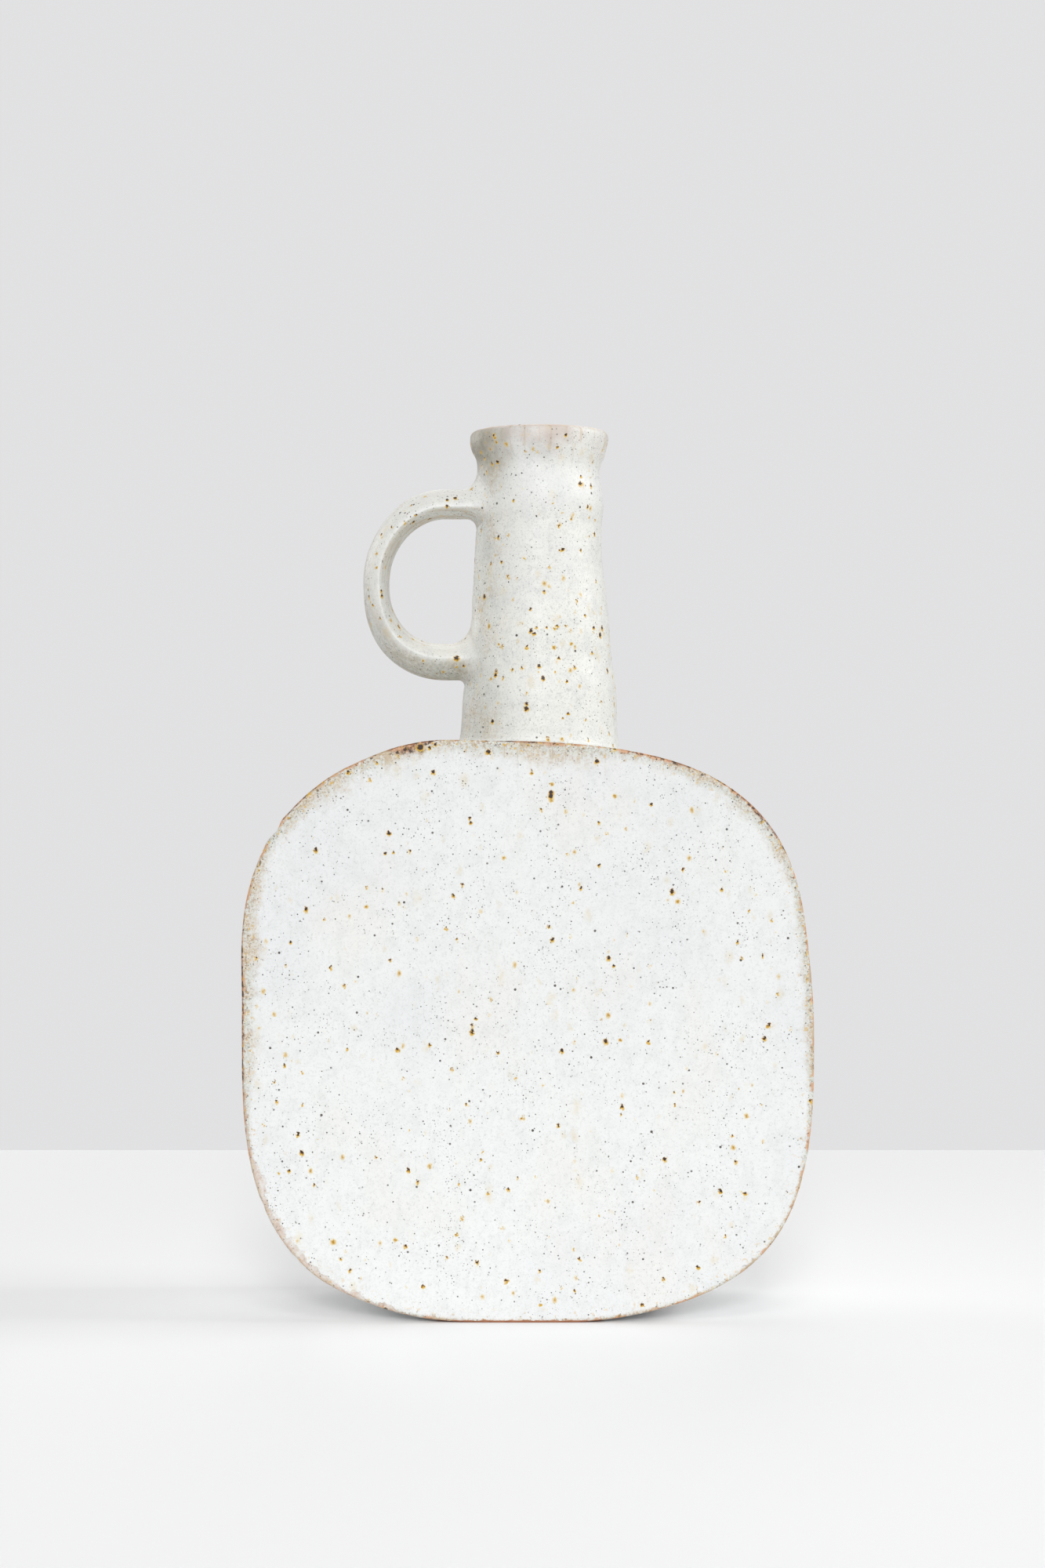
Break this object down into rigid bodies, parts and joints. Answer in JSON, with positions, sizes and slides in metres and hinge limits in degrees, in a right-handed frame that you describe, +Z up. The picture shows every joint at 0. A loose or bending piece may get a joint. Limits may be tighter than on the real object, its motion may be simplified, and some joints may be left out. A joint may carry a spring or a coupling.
{
  "type": "handled vase",
  "caption": "Slab-built stoneware vase: a flat rounded-square drum standing on its edge, with a tapering thrown neck, a rolled rim and a ring handle.",
  "frame": {"origin": "on the ground under the middle of the drum, which is the middle of the footprint's box", "axes": "+X to the right of the front face, away from the handle; +Y from the front face to the back face; +Z up through the neck"},
  "size_m": [0.2532, 0.092, 0.3988],
  "materials": {
    "face_glaze": "semi-matt off-white glaze with iron specks, breaking brown on the edges",
    "wall_glaze": "semi-matt off-white glaze with iron specks",
    "neck_glaze": "satin off-white glaze with iron specks over throwing rings",
    "handle_glaze": "satin off-white glaze with iron specks",
    "bare_clay": "bare fired stoneware, matt",
    "inner_clay": "bare fired stoneware inside, matt"
  },
  "bodies": {
    "root": {"front_slab": "face_glaze", "back_slab": "face_glaze", "base_strip": "bare_clay", "left_wall_strip": "wall_glaze", "right_wall_strip": "wall_glaze", "shoulder_strip": "wall_glaze", "front_seam_coil": "inner_clay", "back_seam_coil": "inner_clay", "neck": "neck_glaze", "neck_joint_coil": "neck_glaze", "handle": "handle_glaze", "handle_upper_collar": "handle_glaze", "handle_lower_collar": "handle_glaze"}
  },
  "joints": []
}
